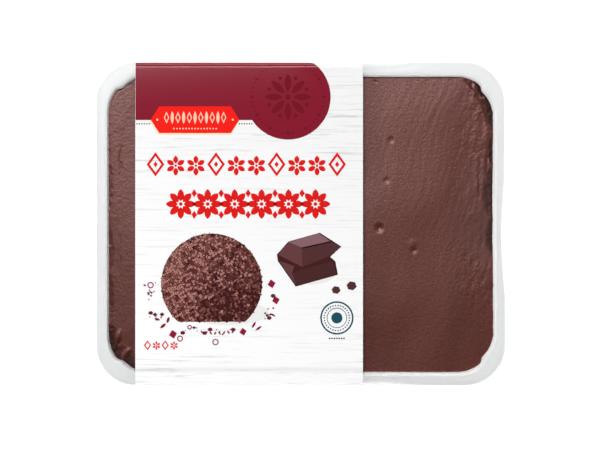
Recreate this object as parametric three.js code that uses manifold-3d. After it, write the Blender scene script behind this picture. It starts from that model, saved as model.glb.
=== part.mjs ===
// A family tray of set chocolate mousse with a folded board sleeve round it.
// Millimetres. +X runs along the tray, +Y to its back and +Z up. The origin is below the tray's
// middle, on the surface that the sleeve's underside rests on.

import * as THREE from 'three';
import { mergeVertices } from 'three/addons/utils/BufferGeometryUtils.js';
import loadManifold from 'manifold-3d';

const { clamp, degToRad, lerp, radToDeg, smoothstep } = THREE.MathUtils;
const QUARTER = Math.PI / 2;

const GAP = 0.3; // left between pieces that touch
const BOARD = 0.5; // thickness of the sleeve's board

// Tray: a sheet of plastic drawn down into a well, with a flat rim whose edge rolls over
const SHEET = 0.6;
const TRAY_LENGTH = 190;
const TRAY_WIDTH = 150.4;
const TRAY_HEIGHT = 35;
const WELL_LENGTH = 180.4; // of the well's mouth, where the walls' lines meet the rim's top
const WELL_WIDTH = 138.4;
const WELL_X = 0.4; // the well's middle, which leaves the left rim wider than the right one
const WELL_Y = -0.5;
const WELL_CORNER = 17.5; // in plan, of the well's mouth
const RIM_CORNER = 19; // in plan, of the rim's edge
const DRAFT = degToRad(8); // lean of the walls
const FLOOR_FILLET = 6;
const MOUTH_BEND = 1.2; // radius from the wall to the rim's top
const EDGE_BEND = 1; // radius of the rim's rolled edge
const LIP = 1.3; // drop of the rolled edge

// A stacking lug stands into the well in one half of each corner, steepest at the corner's middle
const LUG_DEPTH = 1.5;
const LUG_STEP = 51; // degrees from the lug's own side at which its step ends
const LUG_PEAK = 40; // degrees from the lug's own side at which it is deepest

// The right rim is drawn in a little halfway along
const WAIST_DEPTH = 1.2;
const WAIST_Y = 1;
const WAIST_REACH = 34; // either way from WAIST_Y

// Sleeve: a flat tube with sides that lean in with the tray's walls
const SLEEVE_LEFT = -76.4;
const SLEEVE_WIDTH = 105.6;
const SLEEVE_TOP_HALF = 75; // inside, at the top folds' corner
const SLEEVE_FLOOR_HALF = 68; // inside, at the bottom folds' corner
const TOP_FOLD = 2; // inside radius
const FLOOR_FOLD = 1;
const LAP_EDGE = 58; // Y of the outer layer's cut edge on the underside
const FLAP_EDGE = 36; // Y of the glued flap's cut edge, inside

// The sleeve holds the long rims in and bends them down, and they recover beyond its cut edges
const RIM_SQUEEZE = 1.3;
const RIM_DROOP = 1.3;
const HOLD_FADE = 30;
const HOLD_SLACK = 15; // length under the sleeve's right part over which its hold begins to ease

// Mousse
const MOUSSE_LEVEL = 32.2; // mean height of its top
const SHOULDER = 0.2; // drop of its top where it meets the wall
const SHOULDER_WIDTH = 1.5;

// Soft undulations left by levelling: length, half height, degrees that the wave runs at from +X,
// and the sway of its crests
const WAVES = [
  { length: 92, height: 0.2, turn: 35, phase: 0.6, sway: 0.5 },
  { length: 47, height: 0.08, turn: -24, phase: 2.1, sway: 0.8 },
  { length: 23, height: 0.04, turn: -15, phase: 4.0, sway: 0.9 },
];
const SWAY_LENGTH = 55;

// Hollows that slope down to the short walls, where the mousse fell away from them: side, middle,
// half span, width and depth at the wall
const HOLLOWS = [
  { side: 1, y: 55, span: 11.5, width: 4, depth: 1.7 },
  { side: 1, y: 35, span: 5.5, width: 2.4, depth: 1.1 },
  { side: 1, y: 14.5, span: 11.5, width: 4.3, depth: 1.8 },
  { side: 1, y: -5.5, span: 8.5, width: 2.8, depth: 1.3 },
  { side: 1, y: -32, span: 5, width: 1.6, depth: 0.6 },
  { side: -1, y: 17, span: 12, width: 2.6, depth: 0.5 },
  { side: -1, y: -12, span: 12, width: 2.4, depth: 0.7 },
  { side: -1, y: -34, span: 11, width: 2.6, depth: 0.8 },
  { side: -1, y: -54.5, span: 11, width: 4.4, depth: 1.9 },
];

// Burst bubbles in the top: place, radius and depth
const PITS = [
  { x: 43.2, y: 39.2, radius: 1.5, depth: 1.1 },
  { x: 40.8, y: 20.3, radius: 1.4, depth: 0.8 },
  { x: 37.6, y: -2.2, radius: 2.1, depth: 1.6 },
  { x: 53.2, y: -12.3, radius: 1.7, depth: 0.8 },
];

// Steps round the plan, along each side and in each corner, and in each bend of a section
const LONG_STEPS = 12;
const RIGHT_STEPS = 12;
const LEFT_STEPS = 6;
const CORNER_STEPS = 10;
const BEND_STEPS = 2; // getPoints doubles it
const TOP_COLUMNS = 52;
const TOP_ROWS = 44;
const EDGE_CROWDING = 0.62; // share by which the columns close up towards the short walls

const CUTTER_MARGIN = 1; // by which the block with the mousse's top reaches past the well
const WELD = 1e-4; // vertices closer than this are one

const trayUnderside = 2 * BOARD + GAP;
const floorTop = trayUnderside + SHEET;
const rimTop = trayUnderside + TRAY_HEIGHT;
const sleeveCeiling = rimTop + GAP;
const rimWidth = (TRAY_LENGTH - WELL_LENGTH) / 2;

// The section along +X: how far the wall's inner face is from the middle at a height
const wallReach = (z) => WELL_LENGTH / 2 - (rimTop - z) * Math.tan(DRAFT);

const floorBend = new THREE.Vector2(
  wallReach(floorTop + FLOOR_FILLET) - FLOOR_FILLET / Math.cos(DRAFT),
  floorTop + FLOOR_FILLET,
);
const mouthBend = new THREE.Vector2(
  wallReach(rimTop - MOUTH_BEND) + MOUTH_BEND / Math.cos(DRAFT),
  rimTop - MOUTH_BEND,
);
const edgeBend = new THREE.Vector2(TRAY_LENGTH / 2 - EDGE_BEND, rimTop - EDGE_BEND);

// The underside of the sheet out to the rim's lip, and back over its upper face
function traySection() {
  const path = new THREE.Path();
  const lipFoot = rimTop - LIP;
  path.moveTo(0, trayUnderside);
  path.lineTo(floorBend.x, trayUnderside);
  path.absarc(floorBend.x, floorBend.y, FLOOR_FILLET + SHEET, -QUARTER, -DRAFT, false);
  path.absarc(mouthBend.x, mouthBend.y, MOUTH_BEND - SHEET, Math.PI - DRAFT, QUARTER, true);
  path.absarc(edgeBend.x, edgeBend.y, EDGE_BEND - SHEET, QUARTER, 0, true);
  path.lineTo(TRAY_LENGTH / 2 - SHEET, lipFoot);
  path.lineTo(TRAY_LENGTH / 2, lipFoot);
  path.absarc(edgeBend.x, edgeBend.y, EDGE_BEND, 0, QUARTER, false);
  path.absarc(mouthBend.x, mouthBend.y, MOUTH_BEND, QUARTER, Math.PI - DRAFT, false);
  path.absarc(floorBend.x, floorBend.y, FLOOR_FILLET, -DRAFT, -QUARTER, true);
  path.lineTo(0, floorTop);
  return path.getPoints(BEND_STEPS);
}

// The same well, a gap smaller, filled up to a lid above the mousse's top
function fillSection(lid) {
  const path = new THREE.Path();
  path.moveTo(0, floorTop + GAP);
  path.lineTo(floorBend.x, floorTop + GAP);
  path.absarc(floorBend.x, floorBend.y, FLOOR_FILLET - GAP, -QUARTER, -DRAFT, false);
  path.lineTo(wallReach(lid) - GAP / Math.cos(DRAFT), lid);
  path.lineTo(0, lid);
  return path.getPoints(BEND_STEPS);
}

// Places round the plan, counterclockwise: u and v choose the corner's centre or a place between
// two of them, and heading is the direction that the outline faces
function planStations() {
  const sides = [
    { from: [-1, -1], to: [1, -1], heading: -QUARTER, steps: LONG_STEPS },
    { from: [1, -1], to: [1, 1], heading: 0, steps: RIGHT_STEPS },
    { from: [1, 1], to: [-1, 1], heading: QUARTER, steps: LONG_STEPS },
    { from: [-1, 1], to: [-1, -1], heading: Math.PI, steps: LEFT_STEPS },
  ];
  const stations = [];
  for (const { from, to, heading, steps } of sides) {
    for (let k = 0; k < steps; k += 1) {
      const u = lerp(from[0], to[0], k / steps);
      const v = lerp(from[1], to[1], k / steps);
      stations.push({ u, v, heading });
    }
    for (let k = 0; k < CORNER_STEPS; k += 1) {
      const turned = heading + (QUARTER * k) / CORNER_STEPS;
      stations.push({ u: to[0], v: to[1], heading: turned });
    }
  }
  return stations;
}

// 0 to 1 over the corner half that holds the lug: beside the short wall on the right, and beside
// the long walls on the left
function lugShape(heading) {
  const fromShortSide = Math.atan2(Math.abs(Math.sin(heading)), Math.abs(Math.cos(heading)));
  const onRight = Math.cos(heading) > 0;
  const degrees = radToDeg(onRight ? fromShortSide : QUARTER - fromShortSide);
  return Math.min(degrees / LUG_PEAK, 1) * (1 - smoothstep(degrees, LUG_PEAK, LUG_STEP));
}

// 1 where the sleeve holds the rim, and 0 well clear of it
function sleeveHold(x) {
  const right = SLEEVE_LEFT + SLEEVE_WIDTH;
  const fadeLeft = smoothstep(x, SLEEVE_LEFT - HOLD_FADE / 2, SLEEVE_LEFT);
  return fadeLeft * (1 - smoothstep(x, right - HOLD_SLACK, right + HOLD_FADE));
}

// Where a point of the section comes out at one station of the plan
function planPoint({ u, v, heading }, reach, z) {
  const ring = Math.max(reach, floorBend.x);
  const inset = Math.max(WELL_LENGTH / 2 - ring, 0);
  const inRim = clamp((ring - WELL_LENGTH / 2) / rimWidth, 0, 1);
  const halfWidth = lerp(WELL_WIDTH / 2, TRAY_WIDTH / 2, inRim) - inset;
  const radius = lerp(WELL_CORNER, RIM_CORNER, inRim) - inset;
  const inWall = (1 - inRim) * (1 - smoothstep(inset, FLOOR_FILLET, 2 * FLOOR_FILLET));
  const bulge = radius - LUG_DEPTH * lugShape(heading) * inWall;
  const place = new THREE.Vector3(
    u * (ring - radius) + bulge * Math.cos(heading),
    v * (halfWidth - radius) + bulge * Math.sin(heading),
    z,
  );

  if (heading === 0) {
    const along = clamp((place.y - WAIST_Y) / WAIST_REACH, -1, 1);
    place.x -= WAIST_DEPTH * inRim * Math.cos(along * QUARTER) ** 2;
  }
  const held = sleeveHold(place.x) * Math.sin(heading);
  place.y -= RIM_SQUEEZE * inRim * held;
  place.z -= RIM_DROOP * inRim ** 2 * Math.abs(held);

  const shrink = Math.min(reach / floorBend.x, 1);
  place.x = place.x * shrink + WELL_X * (1 - inRim);
  place.y = place.y * shrink + WELL_Y * (1 - inRim);
  return place;
}

// A section carried round the plan: a lathe whose rings are moved from circles to the outline
function aroundPlan(section) {
  const stations = planStations();
  const geometry = new THREE.LatheGeometry(section, stations.length);
  const { position } = geometry.attributes;
  for (let i = 0; i <= stations.length; i += 1) {
    section.forEach((point, j) => {
      const place = planPoint(stations[i % stations.length], point.x, point.y);
      position.setXYZ(i * section.length + j, place.x, place.y, place.z);
    });
  }
  return geometry;
}

const wasm = await loadManifold();
wasm.setup();

// A lathe has flat triangles where its profile meets the axis, which a solid can't hold
function toSolid(geometry) {
  const bare = geometry.clone();
  bare.deleteAttribute('normal');
  bare.deleteAttribute('uv');
  const merged = mergeVertices(bare, WELD);
  const triangles = [];
  for (let i = 0; i < merged.index.count; i += 3) {
    const [a, b, c] = [0, 1, 2].map((corner) => merged.index.getX(i + corner));
    if (a !== b && b !== c && c !== a) triangles.push(a, b, c);
  }
  return new wasm.Manifold(new wasm.Mesh({
    numProp: 3,
    vertProperties: merged.attributes.position.array,
    triVerts: Uint32Array.from(triangles),
  }));
}

function toGeometry(solid) {
  const { vertProperties, triVerts } = solid.getMesh();
  const geometry = new THREE.BufferGeometry();
  geometry.setAttribute('position', new THREE.BufferAttribute(vertProperties, 3));
  geometry.setIndex(new THREE.BufferAttribute(triVerts, 1));
  geometry.computeVertexNormals();
  return geometry;
}

// How far a place is inside the mousse's outline, measured to the nearest wall
function distanceToWall(x, y) {
  const halfLength = wallReach(MOUSSE_LEVEL) - GAP;
  const halfWidth = halfLength - (WELL_LENGTH - WELL_WIDTH) / 2;
  const dx = Math.abs(x - WELL_X) - (halfLength - WELL_CORNER);
  const dy = Math.abs(y - WELL_Y) - (halfWidth - WELL_CORNER);
  const outside = Math.hypot(Math.max(dx, 0), Math.max(dy, 0));
  return WELL_CORNER - outside - Math.min(Math.max(dx, dy), 0);
}

function undulation(x, y) {
  let height = 0;
  for (const wave of WAVES) {
    const cos = Math.cos(degToRad(wave.turn));
    const sin = Math.sin(degToRad(wave.turn));
    const across = (2 * Math.PI * (x * cos + y * sin)) / wave.length;
    const along = (2 * Math.PI * (y * cos - x * sin)) / SWAY_LENGTH;
    height += wave.height * Math.sin(across + wave.phase + wave.sway * Math.sin(along));
  }
  return height;
}

function hollowDepth(x, y, wall) {
  let depth = 0;
  for (const hollow of HOLLOWS) {
    const along = (y - hollow.y) / hollow.span;
    if (Math.sign(x) !== hollow.side || Math.abs(along) >= 1) continue;
    const width = hollow.width * Math.sqrt(1 - along * along);
    depth = Math.max(depth, hollow.depth * clamp((width - wall) / hollow.width, 0, 1));
  }
  return depth;
}

function mousseTop(x, y) {
  const wall = distanceToWall(x, y);
  const shoulder = SHOULDER * (1 - smoothstep(wall, 0, SHOULDER_WIDTH));
  return MOUSSE_LEVEL + undulation(x, y) - shoulder - hollowDepth(x, y, wall);
}

// A block wider than the well, from below its floor to the mousse's top
function reliefBlock() {
  const geometry = new THREE.BoxGeometry(2, 1, 2, TOP_COLUMNS, 1, TOP_ROWS);
  geometry.rotateX(QUARTER);
  const { position } = geometry.attributes;
  const halfLength = WELL_LENGTH / 2 + CUTTER_MARGIN;
  const halfWidth = WELL_WIDTH / 2 + CUTTER_MARGIN;
  for (let i = 0; i < position.count; i += 1) {
    const column = position.getX(i);
    const crowded = column + (EDGE_CROWDING * Math.sin(Math.PI * column)) / Math.PI;
    const x = WELL_X + halfLength * crowded;
    const y = WELL_Y + halfWidth * position.getY(i);
    const z = position.getZ(i) > 0 ? mousseTop(x, y) : 0;
    position.setXYZ(i, x, y, z);
  }
  return geometry;
}

function pitCutter({ x, y, radius, depth }) {
  const geometry = new THREE.IcosahedronGeometry(radius, 2);
  geometry.scale(1, 1, depth / radius);
  geometry.translate(x, y, MOUSSE_LEVEL + undulation(x, y));
  return toSolid(geometry);
}

function mousseGeometry() {
  const fill = toSolid(aroundPlan(fillSection(rimTop)));
  let mousse = fill.intersect(toSolid(reliefBlock()));
  for (const pit of PITS) {
    mousse = mousse.subtract(pitCutter(pit));
  }
  return toGeometry(mousse);
}

// Half the sleeve's width at a height, to its inner face or, with one layer, to its outer face
function sleeveSide(z, layers) {
  const lean = (SLEEVE_TOP_HALF - SLEEVE_FLOOR_HALF) / (sleeveCeiling - BOARD);
  return SLEEVE_FLOOR_HALF + (z - BOARD) * lean + layers * BOARD * Math.hypot(1, lean);
}

// Draws a closed outline whose corners are rounded where they have a radius
function foldedOutline(path, corners) {
  corners.forEach(({ at, radius }, i) => {
    const before = corners.at(i - 1).at.clone().sub(at).normalize();
    const after = corners[(i + 1) % corners.length].at.clone().sub(at).normalize();
    if (!radius) {
      if (i === 0) path.moveTo(at.x, at.y);
      else path.lineTo(at.x, at.y);
      return;
    }
    const half = before.angleTo(after) / 2;
    const middle = before.clone().add(after).setLength(radius / Math.sin(half));
    const centre = at.clone().add(middle);
    const start = before.clone().multiplyScalar(radius / Math.tan(half)).sub(middle);
    const end = after.clone().multiplyScalar(radius / Math.tan(half)).sub(middle);
    const clockwise = before.cross(after) > 0;
    path.absarc(centre.x, centre.y, radius, start.angle(), end.angle(), clockwise);
  });
  path.closePath();
  return path;
}

// The board's section across the tray: the front panel's underside laps over the flap
function sleeveSection() {
  const top = sleeveCeiling + BOARD;
  const corner = (y, z, radius = 0) => ({ at: new THREE.Vector2(y, z), radius });
  const outer = [
    corner(LAP_EDGE, 0),
    corner(LAP_EDGE, BOARD),
    corner(sleeveSide(BOARD, 1), BOARD, FLOOR_FOLD + BOARD),
    corner(sleeveSide(top, 1), top, TOP_FOLD + BOARD),
    corner(-sleeveSide(top, 1), top, TOP_FOLD + BOARD),
    corner(-sleeveSide(0, 1), 0, FLOOR_FOLD + BOARD),
  ];
  const inner = [
    corner(FLAP_EDGE, 2 * BOARD),
    corner(FLAP_EDGE, BOARD),
    corner(-sleeveSide(BOARD, 0), BOARD, FLOOR_FOLD),
    corner(-SLEEVE_TOP_HALF, sleeveCeiling, TOP_FOLD),
    corner(SLEEVE_TOP_HALF, sleeveCeiling, TOP_FOLD),
    corner(sleeveSide(2 * BOARD, 0), 2 * BOARD, FLOOR_FOLD),
  ];
  const section = foldedOutline(new THREE.Shape(), outer);
  section.holes.push(foldedOutline(new THREE.Path(), inner));
  return section;
}

function sleeveGeometry() {
  const geometry = new THREE.ExtrudeGeometry(sleeveSection(), {
    depth: SLEEVE_WIDTH,
    bevelEnabled: false,
    curveSegments: 3,
  });
  const [x, y, z] = [0, 1, 2].map((axis) => new THREE.Vector3().setComponent(axis, 1));
  return geometry.applyMatrix4(new THREE.Matrix4().makeBasis(y, z, x));
}

function addPiece(group, name, geometry, material) {
  const mesh = new THREE.Mesh(geometry, new THREE.MeshStandardMaterial(material));
  mesh.name = name;
  group.add(mesh);
  return mesh;
}

const pack = new THREE.Group();
addPiece(pack, 'tray', aroundPlan(traySection()), {
  color: '#e8e9e8',
  roughness: 0.4,
  metalness: 0,
});
addPiece(pack, 'mousse', mousseGeometry(), {
  color: '#5e3731',
  roughness: 0.62,
  metalness: 0,
});
const sleeve = addPiece(pack, 'sleeve', sleeveGeometry(), {
  color: '#f7f7f5',
  roughness: 0.5,
  metalness: 0,
});
sleeve.position.x = SLEEVE_LEFT;

export default pack;
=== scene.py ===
# A family tray of set chocolate mousse with a folded board sleeve round it.
# Metres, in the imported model's frame: +X runs along the tray, +Y to its back and +Z up.

import math
import random

import bmesh
import bpy
from mathutils import Matrix, Vector, noise


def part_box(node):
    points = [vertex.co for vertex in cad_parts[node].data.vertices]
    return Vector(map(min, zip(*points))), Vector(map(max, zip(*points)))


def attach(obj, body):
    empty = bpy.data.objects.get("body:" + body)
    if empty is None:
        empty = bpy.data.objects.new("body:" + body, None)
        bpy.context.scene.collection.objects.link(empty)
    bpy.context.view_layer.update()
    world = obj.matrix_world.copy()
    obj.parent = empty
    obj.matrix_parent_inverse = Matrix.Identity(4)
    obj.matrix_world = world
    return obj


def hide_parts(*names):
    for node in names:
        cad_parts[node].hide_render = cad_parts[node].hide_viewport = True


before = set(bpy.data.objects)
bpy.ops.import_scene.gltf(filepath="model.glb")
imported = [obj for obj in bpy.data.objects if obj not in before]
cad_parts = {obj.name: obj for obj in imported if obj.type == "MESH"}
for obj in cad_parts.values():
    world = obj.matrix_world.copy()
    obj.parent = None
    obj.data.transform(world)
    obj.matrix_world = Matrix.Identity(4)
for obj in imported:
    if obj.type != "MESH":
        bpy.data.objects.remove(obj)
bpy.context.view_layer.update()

MM = 0.001
QUARTER = math.pi / 2
WELD = 0.001 * MM  # under which two points are one


def mm(*sizes):
    """Sizes that are given in millimetres."""
    return [size * MM for size in sizes]


tray_low, tray_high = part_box("tray")
sleeve_low, sleeve_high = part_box("sleeve")

# Tray: a sheet of plastic drawn down into a well, with a rim whose edge rolls over
SHEET = 0.6 * MM
WELL_LENGTH = 180.15 * MM
WELL_WIDTH = 138.5 * MM
WELL_MIDDLE = Vector(mm(0.42, -0.25))
RIM_MIDDLE = Vector(mm(0.2, 0))
WELL_CORNER = 17.5 * MM
RIM_CORNER = 19 * MM
DRAFT = math.radians(8)
FLOOR_FILLET = 6 * MM
MOUTH_BEND = 1.2 * MM
EDGE_BEND = 0.65 * MM
LIP = 1.3 * MM
CROWN = 0.2 * MM  # by which the rim falls towards its edge
LUG_DEPTH = 1.5 * MM  # of the stacking lug in one half of each corner
LUG_PEAK = math.radians(40)
LUG_STEP = math.radians(51)
WAIST_DEPTH = 1.35 * MM  # by which the right rim is drawn in halfway along
WAIST_Y = -4.5 * MM
WAIST_REACH = 33 * MM
FRONT_FLARE = 0.35 * MM  # by which the right rim stands out near the front
FLARE_START = 20 * MM
FLARE_END = 38 * MM
RIM_SHARES = (0.2, 0.4, 0.6, 0.8)  # places across the rim where its section bends
FILLET_STEPS = 8
BEND_STEPS = 5

# The sleeve holds the long rims in and bends them down, and they recover beyond its cut edges
RIM_SQUEEZE = 1 * MM
RIM_DROOP = 2 * MM
DROOP_GRIP = 2.2  # one over the hold that already bends the rim all the way down
HOLD_FADE = 30 * MM
HOLD_SLACK = 15 * MM  # length under the sleeve's right part over which its hold begins to ease
HOLD_EASED = 0.62  # share of the hold that is gone at the right cut edge

# Sleeve: a flat tube of board with sides that lean in with the tray's walls
BOARD = 0.5 * MM
FOLD_TOP_HALF = 75 * MM  # inside, at the top folds' corner
FOLD_FLOOR_HALF = 68 * MM
TOP_FOLD = 2 * MM
FLOOR_FOLD = 1 * MM
FOLD_STEPS = 10
LAP_EDGE = 58 * MM
FLAP_EDGE = 36 * MM
INK = 0.015 * MM  # height of one layer of print above the one below it
INK_LAYERS = 4
PLANK_GAP = -67.6 * MM  # place along Y of the printed gap

# Mousse
MOUSSE_LEVEL = 32.2 * MM
MOUSSE_ROWS = 340
ROW_CROWDING = 0.6  # share by which the rows crowd towards the long walls
# Spacing of the columns on the left strip, under the sleeve, on the right and at the right wall
COLUMN_SPACING = mm(0.36, 2.6, 0.42, 0.26)
SIDE_RINGS = mm(24, 16)  # heights at which its side has a ring of points
WALL_OVERLAP = 0.05 * MM  # by which it stands into the wall
FLOOR_CLEARANCE = 0.3 * MM  # by which its fillet is smaller than the well's
SHOULDER = 0.1 * MM
SHOULDER_WIDTH = 1.5 * MM
SHOULDER_FADE = 12 * MM  # from a short wall
SMEAR = 2.6 * MM  # by which it clings up the short walls here and there
SMEAR_LENGTH = 2.4 * MM
SMEAR_FADE = 9 * MM
FRONT_CLIMB = 0.5 * MM  # by which it stands up the front wall
WAVES = [  # length, half height, degrees that the wave runs at from +X, phase, sway of its crests
    (*mm(92, 0.2), 35, 0.6, 0.5),
    (*mm(47, 0.07), -24, 2.1, 0.8),
    (*mm(21, 0.025), -15, 4, 0.9),
]
SWAY_LENGTH = 55 * MM
SAG = 0.45 * MM  # towards the right wall, halfway along it
STREAK = 0.014 * MM  # height of the finest ridges
STREAK_SHAPES = [  # share of that height, width, length, degrees from +X, seed
    (1, *mm(1.2, 11), 78, 8),
    (1.6, *mm(2.2, 24), 70, 3),
]
STREAK_SWAY = 3 * MM
LUMP = 0.1 * MM
LUMP_SHAPE = (*mm(2.7, 5), 84, 12)  # width, length, degrees from +X, seed
GRAINS = [  # height on the smooth skin and how much more on the lumpy skin, length, seed
    (*mm(0.014, 0.04, 1.3), 20),
    (*mm(0.01, 0.018, 0.8), 27),
]
FILM = 0.6 * MM  # of mousse that stays on the wall where the rest sank away
FILM_HOLD = 0.85  # share of the depth that the film keeps at the wall
FILM_END = -43 * MM  # on the left wall it stays only to the front of this place
TORN_EDGE = [(*mm(0.8, 3.4), 5), (*mm(0.35, 1.3), 9)]  # raggedness, length, seed
HOLLOWS = [  # side, middle, half span, width, depth at the wall
    (1, *mm(55, 12.5, 4.6, 3.3)),
    (1, *mm(35, 7.5, 3.4, 2.5)),
    (1, *mm(14.5, 12, 4.9, 3.3)),
    (1, *mm(-5.5, 9, 3.5, 2.6)),
    (1, *mm(-32, 6, 1.8, 1)),
    (-1, *mm(17, 12, 2.6, 0.4)),
    (-1, *mm(-12, 12, 2.4, 0.5)),
    (-1, *mm(-34, 11, 2.6, 0.6)),
    (-1, *mm(-58.5, 11.5, 6, 2.6)),
]
SKIN_FOLDS = [  # that stay up in a hollow: place, half length, half width, turn, rise
    (*mm(-84.8, -52.4, 4.6, 2), 76, 0.36 * MM),
    (*mm(-81.4, -60.6, 4.6, 2.1), 52, 0.4 * MM),
    (*mm(86, 33.5, 3, 1), 75, 0.05 * MM),
    (*mm(86.6, 21, 3.6, 1), 100, 0),
    (*mm(85.8, 58, 3, 1), 100, 0),
]
FOLD_HOLD = 0.9  # share of the depth that a fold keeps up
CREASES = [  # side, middle, half span, distance from the wall, width, depth
    (1, *mm(27.5, 5, 3.2, 2, 0.4)),
    (1, *mm(18, 9, 6.6, 1.8, 0.14)),
    (-1, *mm(29, 8, 5.6, 1.8, 0.16)),
    (-1, *mm(-15, 11, 5.2, 1.8, 0.12)),
]
PITS = [  # place, radius and depth of a burst bubble
    mm(42.45, 39.2, 1.8, 0.27),
    mm(40.2, 20.2, 2, 0.19),
    mm(36.8, -1.9, 2.7, 0.58),
    mm(53, -12.4, 2, 0.22),
    mm(52.5, -9.2, 3.2, -0.12),  # and the low swelling behind it
]

rim_top = tray_high.z
tray_underside = tray_low.z
floor_top = tray_underside + SHEET
rim_half_length = tray_high.x
rim_half_width = tray_high.y
rim_width = rim_half_length - WELL_LENGTH / 2
sleeve_top = sleeve_high.z
panel_top = sleeve_top - INK_LAYERS * INK  # of the bare board


def lerp(start, end, share):
    return start + (end - start) * share


def clamp(value, low, high):
    return min(max(value, low), high)


def smooth(value, start, end):
    """0 before the start and 1 after the end, with an even rise between them."""
    share = clamp((value - start) / (end - start), 0, 1)
    return share * share * (3 - 2 * share)


def turned(x, y, degrees):
    """How far a place is along and across a direction, which is given from +X."""
    cos, sin = math.cos(math.radians(degrees)), math.sin(math.radians(degrees))
    return x * cos + y * sin, y * cos - x * sin


def round_about(x, y, radius, degrees):
    """The place on a circle about a middle, at an angle from +X."""
    return x + radius * math.cos(math.radians(degrees)), y + radius * math.sin(math.radians(degrees))


def arc(centre, radius, start, end, steps):
    """Points (across, up) on an arc from one angle to another."""
    angles = [lerp(start, end, k / steps) for k in range(steps + 1)]
    return [(centre[0] + radius * math.cos(a), centre[1] + radius * math.sin(a)) for a in angles]


# ---- materials


def linear(hex_colour):
    """An sRGB hex value as the linear colour that shaders take."""
    channels = [int(hex_colour[k : k + 2], 16) / 255 for k in (1, 3, 5)]
    return (*[c / 12.92 if c <= 0.04045 else ((c + 0.055) / 1.055) ** 2.4 for c in channels], 1)


def add_node(tree, kind, values=None, links=None, out=0, **settings):
    """Adds a node with its settings, the values on its sockets and the links into them, and gives
    the output that is asked for."""
    node = tree.nodes.new("ShaderNode" + kind)
    for name, value in settings.items():
        setattr(node, name, value)
    for socket, value in (values or {}).items():
        node.inputs[socket].default_value = value
    for socket, output in (links or {}).items():
        tree.links.new(output, node.inputs[socket])
    return node.outputs[out]


def new_material(name, **values):
    """A material and its node tree and shader, whose sockets get these values."""
    material = bpy.data.materials.new(name)
    material.use_nodes = True
    tree = material.node_tree
    shader = tree.nodes["Principled BSDF"]
    for socket, value in values.items():
        shader.inputs[socket.replace("_", " ")].default_value = value
    return material, tree, shader


def milky_polypropylene():
    """Thermoformed polypropylene: milky white with a satin skin, faintly uneven from the draw in
    swells about 14 mm long."""
    material, tree, shader = new_material(
        "thermoformed_milky_polypropylene",
        Base_Color=linear("#bfc0c0"),
        Roughness=0.35,
        IOR=1.49,
        Specular_IOR_Level=0.35,
        Subsurface_Weight=1,
        Subsurface_Radius=(1, 1, 1),
        Subsurface_Scale=2.1 * MM,
    )
    place = add_node(tree, "TexCoord", out="Object")
    drawn = add_node(tree, "TexNoise", {"Scale": 1 / (14 * MM), "Detail": 3}, {"Vector": place})
    bump = add_node(tree, "Bump", {"Strength": 0.25, "Distance": 0.2 * MM}, {"Height": drawn})
    tree.links.new(bump, shader.inputs["Normal"])
    return material


def set_mousse():
    """Chilled aerated chocolate: a fatty satin skin over a fine foam, so light spreads into a soft
    haze, and the streaks of levelling show as paler and darker brown. Below the level, where the
    mousse sank from the wall, the brown is painted darker as shade in the hollows, and is rougher.
    The streaks are 5 mm wide and some 40 mm long. The bubbles are some 0.1 mm wide, and are drawn
    at 1.1 mm to show."""
    material, tree, shader = new_material(
        "set_chocolate_mousse",
        IOR=1.6,
        Specular_IOR_Level=0.62,
        Specular_Tint=linear("#ffcec9"),
        Subsurface_Weight=0.05,
        Subsurface_Scale=0.8 * MM,
    )
    place = add_node(tree, "TexCoord", out="Object")
    combed = add_node(
        tree,
        "Mapping",
        {"Rotation": (0, 0, math.radians(18)), "Scale": (1, 0.12, 1)},
        {"Vector": place},
    )
    streaks = add_node(
        tree, "TexNoise", {"Scale": 1 / (5 * MM), "Detail": 5, "Roughness": 0.6}, {"Vector": combed}
    )
    foam = add_node(
        tree, "TexNoise", {"Scale": 1 / (1.1 * MM), "Detail": 4, "Roughness": 0.65}, {"Vector": place}
    )
    shade = add_node(tree, "MapRange", {"From Min": 0.35, "From Max": 0.65}, {"Value": streaks})
    brown = add_node(
        tree, "Mix", {6: linear("#461a11"), 7: linear("#4c1e15")}, {0: shade}, out=2, data_type="RGBA"
    )
    height = add_node(tree, "SeparateXYZ", None, {"Vector": place}, out="Z")
    # Painted shade: below its level the mousse is painted darker, as shade in the hollows, and made
    # rougher.
    below_level_shade_and_dullness = add_node(
        tree,
        "MapRange",
        {"From Min": MOUSSE_LEVEL - 0.28 * MM, "From Max": MOUSSE_LEVEL - 0.95 * MM},
        {"Value": height},
    )
    skin_or_painted_hollow_shade = add_node(
        tree, "Mix", {7: linear("#2c130d")}, {0: below_level_shade_and_dullness, 6: brown}, out=2, data_type="RGBA"
    )
    tree.links.new(skin_or_painted_hollow_shade, shader.inputs["Base Color"])
    dullness = add_node(tree, "MapRange", {"To Min": 0.38, "To Max": 0.75}, {"Value": below_level_shade_and_dullness})
    tree.links.new(dullness, shader.inputs["Roughness"])
    grain = add_node(tree, "Bump", {"Strength": 0.6, "Distance": 0.12 * MM}, {"Height": foam})
    combing = add_node(
        tree, "Bump", {"Strength": 0.2, "Distance": 0.2 * MM}, {"Height": streaks, "Normal": grain}
    )
    tree.links.new(combing, shader.inputs["Normal"])
    return material


COATING = {"Roughness": 0.15, "IOR": 1.5, "Specular_IOR_Level": 0.15}  # clay or varnish: satin


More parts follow.
